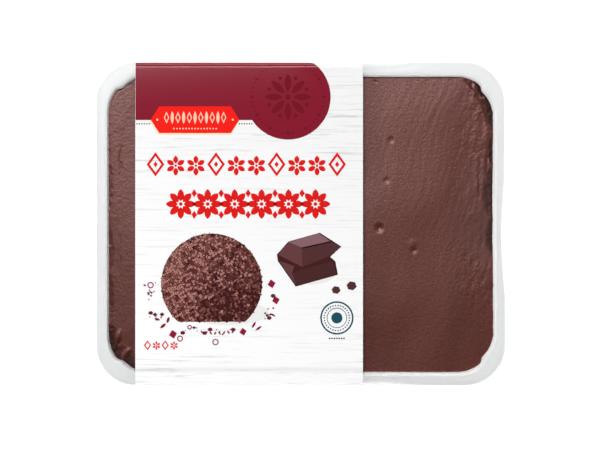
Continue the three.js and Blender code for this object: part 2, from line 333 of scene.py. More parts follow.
def printed_board():
    """Coated white carton board, offset printed with faint grey lines like bleached wood grain, 1.25 mm
    apart and some 36 mm long, in patches of 34 mm, and one soft gap between two planks near the front
    fold. Its white is painted darker towards the back fold as painted shade, and painted grey within
    about 2 mm of the folds as painted shade on them."""
    material, tree, shader = new_material("coated_carton_board", **COATING)
    place = add_node(tree, "TexCoord", out="Object")
    planks = add_node(tree, "Mapping", {"Scale": (0.035, 1, 1)}, {"Vector": place})
    lines = add_node(
        tree, "TexNoise", {"Scale": 1 / (1.25 * MM), "Detail": 5, "Roughness": 0.75}, {"Vector": planks}
    )
    patches = add_node(tree, "TexNoise", {"Scale": 1 / (34 * MM), "Detail": 2}, {"Vector": place})
    line_shade = add_node(tree, "MapRange", {"From Min": 0.53, "From Max": 0.73}, {"Value": lines})
    patch_shade = add_node(
        tree, "MapRange", {"From Min": 0.35, "From Max": 0.65, "To Min": 0.25}, {"Value": patches}
    )
    both = add_node(tree, "Math", None, {0: line_shade, 1: patch_shade}, operation="MULTIPLY")
    across = add_node(tree, "SeparateXYZ", None, {"Vector": place}, out="Y")
    centred = add_node(tree, "Math", {1: 25 * MM}, {0: across}, operation="ADD")
    from_centre = add_node(tree, "Math", None, {0: centred}, operation="ABSOLUTE")
    worn = add_node(
        tree,
        "MapRange",
        {"From Min": 12 * MM, "From Max": 45 * MM, "To Min": 0.32},
        {"Value": from_centre},
    )
    from_gap = add_node(tree, "Math", {1: PLANK_GAP}, {0: across}, operation="SUBTRACT")
    gap_distance = add_node(tree, "Math", None, {0: from_gap}, operation="ABSOLUTE")
    gap = add_node(
        tree,
        "MapRange",
        {"From Max": 2 * MM, "To Min": 0.22, "To Max": 0},
        {"Value": gap_distance},
        interpolation_type="SMOOTHSTEP",
    )
    strength = add_node(tree, "Math", None, {0: both, 1: worn, 2: gap}, operation="MULTIPLY_ADD")
    to_side = add_node(tree, "Math", None, {0: across}, operation="ABSOLUTE")
    from_fold = add_node(tree, "Math", {1: FOLD_TOP_HALF}, {0: to_side}, operation="SUBTRACT")
    fold_distance = add_node(tree, "Math", None, {0: from_fold}, operation="ABSOLUTE")
    # Painted shade: the white is painted grey within 2.2 mm of the two top folds.
    painted_fold_shade = add_node(
        tree,
        "MapRange",
        {"From Max": 2.2 * MM, "To Min": 0.5, "To Max": 0},
        {"Value": fold_distance},
        interpolation_type="SMOOTHSTEP",
    )
    greyness = add_node(tree, "Math", None, {0: strength, 1: painted_fold_shade}, operation="ADD", use_clamp=True)
    # Painted shade: the board's white is painted darker from the front fold to the back fold.
    painted_back_shade = add_node(
        tree, "MapRange", {"From Min": -FOLD_TOP_HALF, "From Max": FOLD_TOP_HALF}, {"Value": across}
    )
    white = add_node(
        tree,
        "Mix",
        {6: linear("#ebebeb"), 7: linear("#dbdbdb")},
        {0: painted_back_shade},
        out=2,
        data_type="RGBA",
    )
    tone = add_node(
        tree, "Mix", {7: linear("#9fa1a1")}, {0: greyness, 6: white}, out=2, data_type="RGBA"
    )
    tree.links.new(tone, shader.inputs["Base Color"])
    return material


def offset_ink(name, colour):
    """Offset ink under a thin varnish: flat colour with the board's satin and a faint fibre. Paper
    fibres are some 0.03 mm wide, and are drawn at 0.9 mm to show."""
    material, tree, shader = new_material(name + "_offset_ink", Base_Color=linear(colour), **COATING)
    place = add_node(tree, "TexCoord", out="Object")
    fibre = add_node(tree, "TexNoise", {"Scale": 1 / (0.9 * MM), "Detail": 3}, {"Vector": place})
    bump = add_node(tree, "Bump", {"Strength": 0.15, "Distance": 0.02 * MM}, {"Height": fibre})
    tree.links.new(bump, shader.inputs["Normal"])
    return material


# ---- tray and mousse


def placed_mesh(name, bm, material):
    """The finished mesh in this material, as an object at the origin."""
    mesh = bpy.data.meshes.new(name)
    bm.to_mesh(mesh)
    bm.free()
    mesh.materials.append(material)
    made = bpy.data.objects.new(name, mesh)
    bpy.context.scene.collection.objects.link(made)
    return made


def add_piece(name, bm, material, crease=None):
    """Makes the finished mesh a piece of the pack, smooth but for edges sharper than the crease."""
    if bm.calc_volume(signed=True) < 0:
        bmesh.ops.reverse_faces(bm, faces=bm.faces)
    piece = placed_mesh(name, bm, material)
    piece.data.shade_smooth()
    if crease is not None:
        piece.data.set_sharp_from_angle(angle=crease)
    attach(piece, "root")
    return piece


def wall_reach(z):
    """How far the well's wall is from the middle, along +X, at a height."""
    return WELL_LENGTH / 2 - (rim_top - z) * math.tan(DRAFT)


# Centres of the bends in the tray's section
floor_bend_z = floor_top + FLOOR_FILLET
mouth_bend_z = rim_top - MOUTH_BEND
floor_bend = (wall_reach(floor_bend_z) - FLOOR_FILLET / math.cos(DRAFT), floor_bend_z)
mouth_bend = (wall_reach(mouth_bend_z) + MOUTH_BEND / math.cos(DRAFT), mouth_bend_z)
edge_bend = (rim_half_length - EDGE_BEND, rim_top - EDGE_BEND - CROWN)


def plan_stations(long_steps, short_steps, corner_steps):
    """Places round the plan, counterclockwise: which corner's centre or place between two of them,
    and the direction that the outline faces there."""
    sides = [
        ((-1, -1), (1, -1), -QUARTER, long_steps),
        ((1, -1), (1, 1), 0, short_steps),
        ((1, 1), (-1, 1), QUARTER, long_steps),
        ((-1, 1), (-1, -1), math.pi, short_steps),
    ]
    stations = []
    for start, end, heading, steps in sides:
        for k in range(steps):
            u, v = (lerp(a, b, k / steps) for a, b in zip(start, end))
            stations.append((u, v, heading))
        for k in range(corner_steps):
            stations.append((*end, heading + QUARTER * k / corner_steps))
    return stations


def lug_shape(heading):
    """0 to 1 over the corner half that holds the lug."""
    from_short_side = math.atan2(abs(math.sin(heading)), abs(math.cos(heading)))
    on_right = math.cos(heading) > 0
    gone_round = from_short_side if on_right else QUARTER - from_short_side
    return min(gone_round / LUG_PEAK, 1) * (1 - smooth(gone_round, LUG_PEAK, LUG_STEP))


def sleeve_hold(x):
    """1 where the sleeve holds the rim, and 0 well clear of it."""
    left, right = sleeve_low.x, sleeve_high.x
    fade_left = smooth(x, left - HOLD_FADE / 5, left + HOLD_FADE / 3)
    fade_right = smooth(x, right + HOLD_FADE / 3, right + HOLD_FADE)
    return fade_left * (1 - HOLD_EASED * smooth(x, right - HOLD_SLACK, right)) * (1 - fade_right)


def plan_point(station, reach, z):
    """Where a point of the tray's section comes out at one station of the plan."""
    u, v, heading = station
    ring = max(reach, floor_bend[0])
    inset = max(WELL_LENGTH / 2 - ring, 0)
    in_rim = clamp((ring - WELL_LENGTH / 2) / rim_width, 0, 1)
    half_width = lerp(WELL_WIDTH / 2, rim_half_width, in_rim) - inset
    radius = lerp(WELL_CORNER, RIM_CORNER, in_rim) - inset
    in_wall = (1 - in_rim) * (1 - smooth(inset, FLOOR_FILLET, 2 * FLOOR_FILLET))
    bulge = radius - LUG_DEPTH * lug_shape(heading) * in_wall
    middle = WELL_MIDDLE.lerp(RIM_MIDDLE, in_rim)
    x = u * (ring - radius) + bulge * math.cos(heading)
    y = v * (half_width - radius) + bulge * math.sin(heading)

    if heading == 0:
        along = clamp((y - WAIST_Y) / WAIST_REACH, -1, 1)
        x -= WAIST_DEPTH * in_rim * math.cos(along * QUARTER) ** 2
    x += FRONT_FLARE * in_rim * smooth(-y, FLARE_START, FLARE_END) * max(math.cos(heading), 0)
    held = sleeve_hold(x) * math.sin(heading)
    y -= RIM_SQUEEZE * in_rim * held
    pressed = min(DROOP_GRIP * abs(held), 1) * smooth(x, sleeve_low.x, sleeve_low.x + HOLD_FADE)
    z -= RIM_DROOP * in_rim**3 * pressed

    shrink = min(reach / floor_bend[0], 1)
    return Vector((x * shrink + middle.x, y * shrink + middle.y, z))


def spun_round_plan(section, stations):
    """A section spun about +Z, whose rings are then moved from circles to the tray's outline."""
    bm = bmesh.new()
    corners = [bm.verts.new((across, 0, up)) for across, up in section]
    for a, b in zip(corners, corners[1:]):
        bm.edges.new((a, b))
    bmesh.ops.spin(
        bm,
        geom=bm.verts[:] + bm.edges[:],
        cent=(0, 0, 0),
        axis=(0, 0, 1),
        angle=2 * math.pi,
        steps=len(stations),
        use_merge=True,
    )
    bmesh.ops.remove_doubles(bm, verts=bm.verts, dist=WELD)
    for vert in bm.verts:
        turn = math.atan2(vert.co.y, vert.co.x) / (2 * math.pi)
        station = stations[round(turn * len(stations)) % len(stations)]
        vert.co = plan_point(station, math.hypot(vert.co.x, vert.co.y), vert.co.z)
    bmesh.ops.recalc_face_normals(bm, faces=bm.faces)
    return bm


def tray():
    """The drawn sheet: its underside out to the rim's lip, and back over its upper face."""
    down, under, wall_up = -DRAFT, -QUARTER, math.pi - DRAFT
    lip_foot = rim_top - LIP - CROWN

    def rim_at(share, sheet):
        return (lerp(mouth_bend[0], edge_bend[0], share), rim_top - sheet - CROWN * share**2)

    section = [
        (0, tray_underside),
        (floor_bend[0] / 2, tray_underside),
        *arc(floor_bend, FLOOR_FILLET + SHEET, under, down, FILLET_STEPS),
        *arc(mouth_bend, MOUTH_BEND - SHEET, wall_up, QUARTER, BEND_STEPS),
        *[rim_at(share, SHEET) for share in RIM_SHARES],
        *arc(edge_bend, EDGE_BEND - SHEET, QUARTER, 0, BEND_STEPS),
        (rim_half_length - SHEET, lip_foot),
        (rim_half_length, lip_foot),
        *arc(edge_bend, EDGE_BEND, 0, QUARTER, BEND_STEPS),
        *[rim_at(share, 0) for share in reversed(RIM_SHARES)],
        *arc(mouth_bend, MOUTH_BEND, QUARTER, wall_up, BEND_STEPS + 1),
        *arc(floor_bend, FLOOR_FILLET, down, under, FILLET_STEPS),
        (floor_bend[0] / 2, floor_top),
        (0, floor_top),
    ]
    bm = spun_round_plan(section, plan_stations(long_steps=60, short_steps=44, corner_steps=26))
    piece = add_piece("drawn_tray", bm, milky_polypropylene())
    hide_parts("tray")
    return piece


level_inset = (rim_top - MOUSSE_LEVEL) * math.tan(DRAFT) - WALL_OVERLAP
mousse_half_length = WELL_LENGTH / 2 - level_inset
mousse_half_width = WELL_WIDTH / 2 - level_inset
mousse_corner = WELL_CORNER - level_inset
right_end = WELL_MIDDLE.x + mousse_half_length


def corner_middle(x, y):
    """The middle of the corner, or of the straight, that a place on the outline belongs to."""
    along, across = mousse_half_length - mousse_corner, mousse_half_width - mousse_corner
    middle_x = clamp(x, WELL_MIDDLE.x - along, WELL_MIDDLE.x + along)
    middle_y = clamp(y, WELL_MIDDLE.y - across, WELL_MIDDLE.y + across)
    return Vector((middle_x, middle_y))


def wall_distance(x, y):
    """How far a place on the mousse is inside the wall."""
    out = Vector((x, y)) - corner_middle(x, y)
    if out.x and out.y:
        lug = LUG_DEPTH * lug_shape(math.atan2(out.y, out.x))
        return max(mousse_corner - lug - out.length, 0)
    from_sides = mousse_half_length - abs(x - WELL_MIDDLE.x)
    from_ends = mousse_half_width - abs(y - WELL_MIDDLE.y)
    return max(min(from_sides, from_ends), 0)


def undulation(x, y):
    """Height of the long soft waves."""
    height = 0
    for length, half_height, turn, phase, sway in WAVES:
        across, along = turned(x, y, turn)
        bend = sway * math.sin(2 * math.pi * along / SWAY_LENGTH)
        height += half_height * math.sin(2 * math.pi * across / length + phase + bend)
    return height


def soft_noise(x, y, length, seed):
    """-1 to 1, with features of about that length."""
    return noise.noise((x / length, y / length, seed))


def combed_noise(x, y, width, length, degrees, seed):
    """-1 to 1, drawn out along a direction given from +X."""
    along, across = turned(x, y, degrees)
    return noise.noise((along / length, across / width, seed))


def hollow_depth(x, y, wall):
    """Depth of the hollows and creases left where the mousse sank away from a short wall, but for the
    film on the wall and the folds of skin that stayed up."""
    ragged = wall + sum(reach * soft_noise(x, y, length, seed) for reach, length, seed in TORN_EDGE)
    fallen, creased = 0, 0
    for side, middle, span, width, depth in HOLLOWS:
        along = (y - middle) / span
        if x * side > 0 and abs(along) < 1:
            reach = width * math.sqrt(1 - along * along)
            fallen = max(fallen, depth * clamp((reach - ragged) / width, 0, 1))
    fallen *= 0.8 + 0.6 * soft_noise(x, y, 2.3 * MM, seed=51)  # for an uneven floor
    for side, middle, span, away, width, depth in CREASES:
        along = (y - middle) / span
        across = (ragged - away) / (width / 2)
        if x * side > 0 and abs(along) < 1 and abs(across) < 1:
            creased += depth * (1 - across * across) ** 2 * (1 - along * along)
    for fold_x, fold_y, half_length, half_width, turn, rise in SKIN_FOLDS:
        along, across = turned(x - fold_x, y - fold_y, turn)
        away = (along / half_length) ** 2 + (across / half_width) ** 2
        if away < 1:
            fallen *= 1 - FOLD_HOLD * (1 - away)
            creased -= rise * (1 - away) ** 2
    if x > 0 or y < FILM_END:
        fallen *= 1 - FILM_HOLD * (1 - smooth(wall, 0, FILM))
    return fallen + creased


def pit_depth(x, y):
    """Depth of the burst bubbles, which have flowed back to shallow bowls."""
    depth = 0
    for pit_x, pit_y, radius, deep in PITS:
        away = math.hypot(x - pit_x, y - pit_y) / radius
        if away < 1:
            depth += deep * (1 - away * away) ** 2
    return depth


def lumpiness(x, y):
    """How lumpy the skin is: 1 along the right wall, 0.4 on the left strip and 1.4 in the strip's
    front corner."""
    near_right = smooth(x, right_end - 22 * MM, right_end - 6 * MM) * smooth(y, -46 * MM, -30 * MM)
    near_left = 0.4 * smooth(-x, 0, 60 * MM)
    front_corner = smooth(-x, 60 * MM, 76 * MM) * smooth(-y, 46 * MM, 60 * MM)
    return clamp(near_right + near_left, 0, 1) + front_corner


def streaks(x, y):
    """Fine ridges drawn up the levelled skin, deepest at the back right and bending as they run."""
    bent = x + STREAK_SWAY * soft_noise(x, y, 26 * MM, seed=31)
    ridges = sum(share * combed_noise(bent, y, *shape) for share, *shape in STREAK_SHAPES)
    back_right = smooth(y, -50 * MM, 40 * MM) * smooth(x, 5 * MM, 85 * MM)
    return STREAK * (0.35 + 1.1 * back_right) * ridges


def mousse_top(x, y, wall):
    """Height of the mousse at a place that is so far inside the wall."""
    from_middle = abs(x - WELL_MIDDLE.x)
    short_wall = smooth(from_middle, mousse_half_length - SHOULDER_FADE, mousse_half_length)
    height = MOUSSE_LEVEL + undulation(x, y) + streaks(x, y)
    height -= SHOULDER * short_wall * (1 - smooth(wall, 0, SHOULDER_WIDTH))
    lumpy = lumpiness(x, y)
    height += LUMP * lumpy * combed_noise(x, y, *LUMP_SHAPE)
    for smooth_height, more, length, seed in GRAINS:
        height += (smooth_height + more * lumpy) * soft_noise(x, y, length, seed)
    halfway = smooth(y, -34 * MM, -4 * MM) * (1 - smooth(y, 20 * MM, 44 * MM))
    height -= SAG * halfway * smooth(x, 64 * MM, 90 * MM)
    return height - hollow_depth(x, y, wall) - pit_depth(x, y)


def well_outline(reach, level):
    """Right and left borders of the well at a height, each as points sorted from front to back. The
    long walls run along the rows and bound none of them."""
    stations = plan_stations(long_steps=8, short_steps=60, corner_steps=60)
    off_long_walls = [station for station in stations if abs(math.cos(station[2])) > 0.01]
    points = [plan_point(station, reach, level) for station in off_long_walls]
    right = sorted((p.y, p.x) for p in points if p.x > WELL_MIDDLE.x)
    left = sorted((p.y, p.x) for p in points if p.x <= WELL_MIDDLE.x)
    return right, left


def border_at(border, y):
    """The border's x where it passes y."""
    for (y0, x0), (y1, x1) in zip(border, border[1:]):
        if y0 <= y <= y1 and y1 > y0:
            return lerp(x0, x1, (y - y0) / (y1 - y0))
    return border[0][1] if y < border[0][0] else border[-1][1]


def column_shares(left, right):
    """Places of the grid's columns from 0 to 1, close together where the mousse shows."""
    ends = [sleeve_low.x - 2 * MM, sleeve_high.x - 4 * MM, right - 12 * MM, right]
    places = [left]
    for end, spacing in zip(ends, COLUMN_SPACING):
        start = places[-1]
        count = max(round((end - start) / spacing), 1)
        places += [lerp(start, end, (k + 1) / count) for k in range(count)]
    return [(place - left) / (right - left) for place in places]


def outward(vert):
    """Level direction from a point of the mousse to the wall."""
    middle = corner_middle(vert.co.x, vert.co.y)
    return Vector((vert.co.x - middle.x, vert.co.y - middle.y, 0)).normalized()


def mousse():
    """The set mousse: a fine top that meets the wall, and the well's form below it."""
    reach = mousse_half_length
    right, left = well_outline(reach, MOUSSE_LEVEL)
    shares = column_shares(WELL_MIDDLE.x - reach, WELL_MIDDLE.x + reach)

    bm = bmesh.new()
    bmesh.ops.create_grid(bm, x_segments=len(shares) - 1, y_segments=MOUSSE_ROWS, size=1)
    borders = {}
    for vert in bm.verts:
        column = round((vert.co.x + 1) / 2 * (len(shares) - 1))
        row = round((vert.co.y + 1) / 2 * MOUSSE_ROWS)
        if row not in borders:
            place = row / MOUSSE_ROWS * 2 - 1
            crowded = lerp(place, math.sin(place * QUARTER), ROW_CROWDING)
            y = WELL_MIDDLE.y + mousse_half_width * crowded
            borders[row] = (border_at(left, y), border_at(right, y), y)
        x_left, x_right, y = borders[row]
        x = lerp(x_left, x_right, shares[column])
        vert.co = (x, y, mousse_top(x, y, wall_distance(x, y)))

    border = [edge for edge in bm.edges if edge.is_boundary]
    for vert in {vert for edge in border for vert in edge.verts}:
        x, y, _ = vert.co
        short_wall = smooth(abs(x - WELL_MIDDLE.x), reach - SMEAR_FADE, reach)
        climb = SMEAR * short_wall * max(soft_noise(x, y, SMEAR_LENGTH, seed=44) - 0.1, 0)
        if y < 0:
            climb += FRONT_CLIMB * (1 - short_wall)
        vert.co += outward(vert) * climb * math.tan(DRAFT)
        vert.co.z += climb
    steps = [(math.tan(DRAFT) * (MOUSSE_LEVEL - z), z) for z in (*SIDE_RINGS, floor_bend[1])]
    bend = (floor_bend[0] + WALL_OVERLAP, floor_bend[1])
    fillet = arc(bend, FLOOR_FILLET - FLOOR_CLEARANCE, -DRAFT, -QUARTER, 4)
    steps += [(reach - across, up) for across, up in fillet[1:]]
    last_inset = 0
    for inset, z in steps:
        extruded = bmesh.ops.extrude_edge_only(bm, edges=border)["geom"]
        for vert in extruded:
            if isinstance(vert, bmesh.types.BMVert):
                vert.co -= outward(vert) * (inset - last_inset)
                vert.co.z = z
        border = [edge for edge in extruded if isinstance(edge, bmesh.types.BMEdge)]
        last_inset = inset
    floor = bmesh.ops.contextual_create(bm, geom=border)["faces"]
    bmesh.ops.triangulate(bm, faces=floor)
    bmesh.ops.recalc_face_normals(bm, faces=bm.faces)
    piece = add_piece("levelled_mousse", bm, set_mousse())
    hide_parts("mousse")
    return piece


# ---- sleeve

fold_lean = (FOLD_TOP_HALF - FOLD_FLOOR_HALF) / (sleeve_top - 2 * BOARD)


def side_reach(z):
    """Half the sleeve's width at a height, to its outer face."""
    return FOLD_FLOOR_HALF + (z - BOARD) * fold_lean + BOARD * math.hypot(1, fold_lean)


def rounded_corner(before, at, after, radius, steps):
    """Points (across, up) round a fold between two straights."""
    at, before, after = Vector(at), Vector(before), Vector(after)
    one, two = (before - at).normalized(), (after - at).normalized()
    half = one.angle(two) / 2
    centre = at + (one + two).normalized() * radius / math.sin(half)
    start = at + one * radius / math.tan(half) - centre
    turn = 180 - 2 * math.degrees(half)
    way = 1 if one.x * two.y - one.y * two.x > 0 else -1
    angles = [way * turn * k / steps for k in range(steps + 1)]
    return [centre + Vector(turned(start.x, start.y, angle)) for angle in angles]


def board_path():
    """The outer face of the folded board from the flap's edge, round the back and the top, to the
    lap's edge on the underside."""
    corners = [
        (FLAP_EDGE, BOARD),
        (side_reach(BOARD), BOARD),
        (side_reach(panel_top), panel_top),
        (-side_reach(panel_top), panel_top),
        (-side_reach(0), 0),
        (LAP_EDGE, 0),
    ]
    radii = [FLOOR_FOLD + BOARD, TOP_FOLD + BOARD, TOP_FOLD + BOARD, FLOOR_FOLD + BOARD]
    path = [corners[0]]
    for k, radius in enumerate(radii):
        path += rounded_corner(*corners[k : k + 3], radius, FOLD_STEPS)
    return path + [corners[-1]]


def sleeve_board():
    """One strip of board, folded round and glued lap over flap."""
    bm = bmesh.new()
    verts = [bm.verts.new((sleeve_low.x, across, up)) for across, up in board_path()]
    edges = [bm.edges.new(pair) for pair in zip(verts, verts[1:])]
    extruded = bmesh.ops.extrude_edge_only(bm, edges=edges)["geom"]
    width = sleeve_high.x - sleeve_low.x
    moved = [v for v in extruded if isinstance(v, bmesh.types.BMVert)]
    bmesh.ops.translate(bm, verts=moved, vec=(width, 0, 0))
    bmesh.ops.recalc_face_normals(bm, faces=bm.faces)
    top = max(bm.faces, key=lambda face: face.calc_center_median().z)
    if top.normal.z < 0:
        bmesh.ops.reverse_faces(bm, faces=bm.faces)
    bmesh.ops.solidify(bm, geom=bm.faces, thickness=BOARD)
    bmesh.ops.recalc_face_normals(bm, faces=bm.faces)
    piece = add_piece("folded_board_sleeve", bm, printed_board(), crease=math.radians(40))
    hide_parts("sleeve")
    return piece


# ---- print
# Shapes are drawn flat, as x and the way round the board from the top's middle to the back.


def board_stations():
    """The board's outer face from front to back: way round it, place and outward direction."""
    path = [Vector(point) for point in reversed(board_path())]
    facing = [Vector((a.y - b.y, b.x - a.x)).normalized() for a, b in zip(path, path[1:])]
    facing = [facing[0], *[(a + b).normalized() for a, b in zip(facing, facing[1:])], facing[-1]]
    gone = [0]
    for a, b in zip(path, path[1:]):
        gone.append(gone[-1] + (b - a).length)
    before_middle = max(k for k, point in enumerate(path) if point.x < 0 and point.y > sleeve_top / 2)
    middle = (gone[before_middle] + gone[before_middle + 1]) / 2
    return [(way - middle, point, face) for way, point, face in zip(gone, path, facing)]


stations_round_board = board_stations()


def on_board(x, way, lift):
    """A place so far round the board and so high above it."""
    for (start, a, facing_a), (end, b, facing_b) in zip(stations_round_board, stations_round_board[1:]):
        if start <= way <= end:
            share = (way - start) / (end - start)
            place = a.lerp(b, share) + facing_a.lerp(facing_b, share) * lift
            return Vector((x, place.x, place.y))
    raise ValueError("print off the board's edge")


def spot(bm, x, way, radius, sides=20, stretch=1, turn=0):
    """A disc, or with few sides a lozenge or a chip; stretch is its height over its width."""
    place = Matrix.Translation((x, way, 0)) @ Matrix.Diagonal((1, stretch, 1, 1))
    place = place @ Matrix.Rotation(math.radians(turn), 4, "Z")
    made = bmesh.ops.create_circle(bm, cap_ends=True, segments=sides, radius=radius, matrix=place)
    return made["verts"][0].link_faces[0]


def hollow_spot(bm, x, way, radius, stroke, sides=32, stretch=1):
    """A ring, or with four sides a hollow lozenge."""
    face = spot(bm, x, way, radius, sides, stretch)
    bmesh.ops.inset_individual(bm, faces=[face], thickness=stroke, use_even_offset=True)
    bmesh.ops.delete(bm, geom=[face], context="FACES")


def field(bm, corners):
    """A flat field with these corners."""
    verts = [bm.verts.new((x, way, 0)) for x, way in corners]
    return bmesh.ops.contextual_create(bm, geom=verts)["faces"][0]


def leaf(bm, x, way, length, width, turn):
    """A leaf with two points, whose length runs at an angle from +X."""
    half, bow = length / 2, width / 2
    radius = (half * half + bow * bow) / (2 * bow)
    spread = math.asin(half / radius)
    low = arc((0, radius - bow), radius, -QUARTER - spread, -QUARTER + spread, 8)
    high = arc((0, bow - radius), radius, QUARTER - spread, QUARTER + spread, 8)
    points = [turned(across, up, -turn) for across, up in low[:-1] + high[:-1]]
    field(bm, [(x + across, way + up) for across, up in points])


def printed(name, bm, ink, colour, layer):
    """Presses the flat shapes on to the board as thin solids of ink that follow its folds, in a
    layer that is counted from the board up."""
    ways = [vert.co.y for vert in bm.verts]
    for way, _, _ in stations_round_board:
        if min(ways) < way < max(ways):
            everything = bm.verts[:] + bm.edges[:] + bm.faces[:]
            bmesh.ops.bisect_plane(bm, geom=everything, plane_co=(0, way, 0), plane_no=(0, 1, 0))
    bmesh.ops.triangulate(bm, faces=bm.faces)
    bm.normal_update()
    bmesh.ops.reverse_faces(bm, faces=[face for face in bm.faces if face.normal.z < 0])
    bmesh.ops.solidify(bm, geom=bm.faces, thickness=INK)
    for vert in bm.verts:
        lift = layer * INK if abs(vert.co.z) < INK / 2 else -INK / 2
        vert.co = on_board(vert.co.x, vert.co.y, lift)
    add_piece(name, bm, offset_ink(ink, colour), crease=math.radians(50))


BAND_FRONT = 48.14 * MM
BAND_END = 104 * MM  # on the back side, just above its lower fold
CUT_MARGIN = 0.12 * MM  # of white left along the sleeve's cut edge
DISC = mm(-5.58, 58.84)
DISC_RADIUS = 19.77 * MM


def band():
    """A burgundy band over the back fold, that ends in a large disc."""
    bm = bmesh.new()
    left = sleeve_low.x + CUT_MARGIN
    meets = math.asin((BAND_FRONT - DISC[1]) / DISC_RADIUS)
    lower_left = arc(DISC, DISC_RADIUS, -math.pi - meets, -QUARTER, 20)
    right_half = arc(DISC, DISC_RADIUS, -QUARTER, QUARTER, 44)
    start, top = lower_left[0], right_half[-1]
    foot = (DISC[0], BAND_FRONT)
    field(bm, [(left, BAND_FRONT), start, foot, top, (DISC[0], BAND_END), (left, BAND_END)])
    field(bm, [*lower_left, foot])
    field(bm, [*right_half, foot])
    bmesh.ops.remove_doubles(bm, verts=bm.verts, dist=WELD)
    bmesh.ops.recalc_face_normals(bm, faces=bm.faces)
    printed("burgundy_band", bm, "burgundy", "#781729", 1)


def rosette():
    """A rosette of leaves in a ring of dots, in a darker burgundy on the disc."""
    bm = bmesh.new()
    for turn in range(0, 360, 45):
        leaf(bm, *round_about(*DISC, 6.6 * MM, turn), 8.4 * MM, 3.1 * MM, turn)
        spot(bm, *round_about(*DISC, 9.4 * MM, turn + 22.5), 0.9 * MM, sides=12)
    spot(bm, *DISC, 1.3 * MM)
    for k in range(48):
        size = (0.42 if k % 4 else 0.75) * MM
        spot(bm, *round_about(*DISC, 16.7 * MM, 360 * k / 48), size, sides=10)
    printed("burgundy_rosette", bm, "deep_burgundy", "#6a1120", 2)


BADGE = mm(-48.65, 48.3)
BADGE_HALF_LENGTH = 20.55 * MM
BADGE_FLAT_HALF = 16.6 * MM
BADGE_HALF_HEIGHT = 6.2 * MM


def badge_corners(x, way, grow):
    """A long hexagon with two points, larger all round by so much."""
    long, flat = BADGE_HALF_LENGTH + 1.2 * grow, BADGE_FLAT_HALF + 0.5 * grow
    high = BADGE_HALF_HEIGHT + grow
    sides = [(long, 0), (flat, high), (-flat, high), (-long, 0), (-flat, -high), (flat, -high)]
    return [(x + a, way + b) for a, b in sides]


def badge():
    """A long hexagon in red with a cream edge below it, and rows of cream ornament on it."""
    x, way = BADGE
    bm = bmesh.new()
    field(bm, badge_corners(x - 0.25 * MM, way - 0.7 * MM, 0.15 * MM))
    printed("badge_cream_edge", bm, "cream", "#e6cdb0", 2)
    bm = bmesh.new()
    field(bm, badge_corners(x, way, 0))
    printed("badge_red_hexagon", bm, "bright_red", "#dd1d15", 3)
    bm = bmesh.new()
    for k in range(11):
        across = x + 2.65 * MM * (k - 5)
        if k % 2:
            leaf(bm, across, way + MM, 6 * MM, 1.5 * MM, 90)
        else:
            hollow_spot(bm, across, way + MM, 1.25 * MM, 0.45 * MM, sides=4, stretch=2.2)
    for k in range(15):
        spot(bm, x + 1.4 * MM * (k - 7), way - 4.1 * MM, 0.38 * MM, sides=8)
    for side in (-1, 1):
        spot(bm, x + side * 17.5 * MM, way, 0.5 * MM, sides=12)
    printed("badge_cream_ornament", bm, "pale_cream", "#f0b8a0", 4)


def flower(bm, x, way, radius, petals, width):
    """Leaves set round a dot."""
    for k in range(petals):
        turn = 360 * k / petals + 90
        middle = round_about(x, way, 0.6 * radius, turn)
        leaf(bm, *middle, 0.8 * radius, width, turn)
    spot(bm, x, way, 0.13 * radius, sides=12)


def frieze():
    """Two rows of flowers and lozenges in red, and a short row near the front corner."""
    bm = bmesh.new()
    upper, lower, corner = mm(27, 9.2, -56.4)
    for k in range(10):
        x = (-67 + 9.36 * k) * MM
        if k % 3 == 0:
            hollow_spot(bm, x, upper + 0.6 * MM, 4.1 * MM, 1.1 * MM, sides=4, stretch=1.38)
            spot(bm, x, upper + 0.6 * MM, MM, sides=4, stretch=1.4)
        else:
            flower(bm, x, upper, 4.6 * MM, petals=6, width=2.3 * MM)
    for k in range(6):
        x = (-55.3 + 12.5 * k) * MM
        flower(bm, x, lower, 6.9 * MM, petals=8, width=3.1 * MM)
        if k < 5:
            for way in (lower + 5 * MM, lower - 5 * MM):
                spot(bm, x + 6.25 * MM, way, 1.3 * MM, sides=4, stretch=1.5)
    for k in range(4):
        x = (-70.7 + 4.1 * k) * MM
        if k % 2:
            flower(bm, x, corner, 2 * MM, petals=6, width=0.9 * MM)
        else:
            hollow_spot(bm, x, corner + 0.1 * MM, 1.7 * MM, 0.55 * MM, sides=4, stretch=1.35)
    printed("red_frieze", bm, "red", "#cb1b18", 1)


def dotted_line():
    """Fine dark dots along the band, to both sides of the badge."""
    bm = bmesh.new()
    for k in range(6):
        for start in (-75.6, -28.1):
            spot(bm, (start + 1.15 * k) * MM, 46.4 * MM, 0.34 * MM, sides=8)
    printed("dotted_line", bm, "umber", "#2e1c1c", 1)


DOME = mm(-41, -27.9)
DOME_RADIUS = 23.4 * MM
DOME_FOOT = 17.5 * MM  # below the middle, where it is cut off
CRUMB = 1.05 * MM
CRUMB_FILL = 0.93  # of its cell, so that the dark ground shows between
CRUMB_STRAY = 0.45 * CRUMB  # by which each corner is moved at most
CRUMB_TURN = math.radians(29)  # of their grid, so that no rows show
SHADES = [("palest_grey", "#e7e7e6", 1.6 * MM), ("pale_grey", "#dadad9", 0)]
BROWNS = [
    ("darkest_brown", "#3a1717"),
    ("dark_brown", "#532c2d"),
    ("brown", "#74473f"),
    ("pale_brown", "#a2716a"),
]


